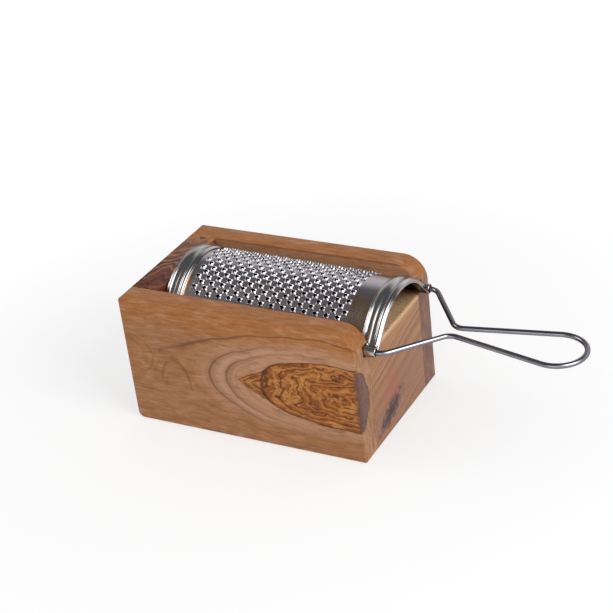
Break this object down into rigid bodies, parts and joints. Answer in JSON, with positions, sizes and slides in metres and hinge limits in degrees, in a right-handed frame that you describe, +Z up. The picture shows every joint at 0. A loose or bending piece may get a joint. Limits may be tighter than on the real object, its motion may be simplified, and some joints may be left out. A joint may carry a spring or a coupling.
{
  "type": "nutmeg grater",
  "caption": "Half-round nutmeg grater with a looped wire handle, sliding in the grooves of a small open olive wood catch box.",
  "frame": {"origin": "middle of the flat underside of the wooden box", "axes": "+X along the box towards the wire handle, +Z up, -Y is the front side board"},
  "size_m": [0.1747, 0.064, 0.0599],
  "materials": {
    "olive_sides": "oiled, figured grain",
    "olive_heartwood": "oiled, dark figured heartwood",
    "olive_end": "oiled, straight grain",
    "olive_floor": "oiled, straight grain",
    "punched_steel": "polished sheet, punched teeth",
    "band_steel": "polished",
    "wire_steel": "drawn wire, polished"
  },
  "bodies": {
    "box": {"front_board": "olive_sides", "back_board": "olive_sides", "left_end_block": "olive_heartwood", "right_end_block": "olive_end", "floor_board": "olive_floor"},
    "grater": {"grater_sheet": "punched_steel", "left_end_band": "band_steel", "right_end_band": "band_steel", "wire_handle": "wire_steel"}
  },
  "joints": [
    {"name": "grater_slide", "type": "slide", "parent": "box", "child": "grater", "axis": [0.9999, 0, -0.0152], "range_m": [0, 0.087]}
  ]
}
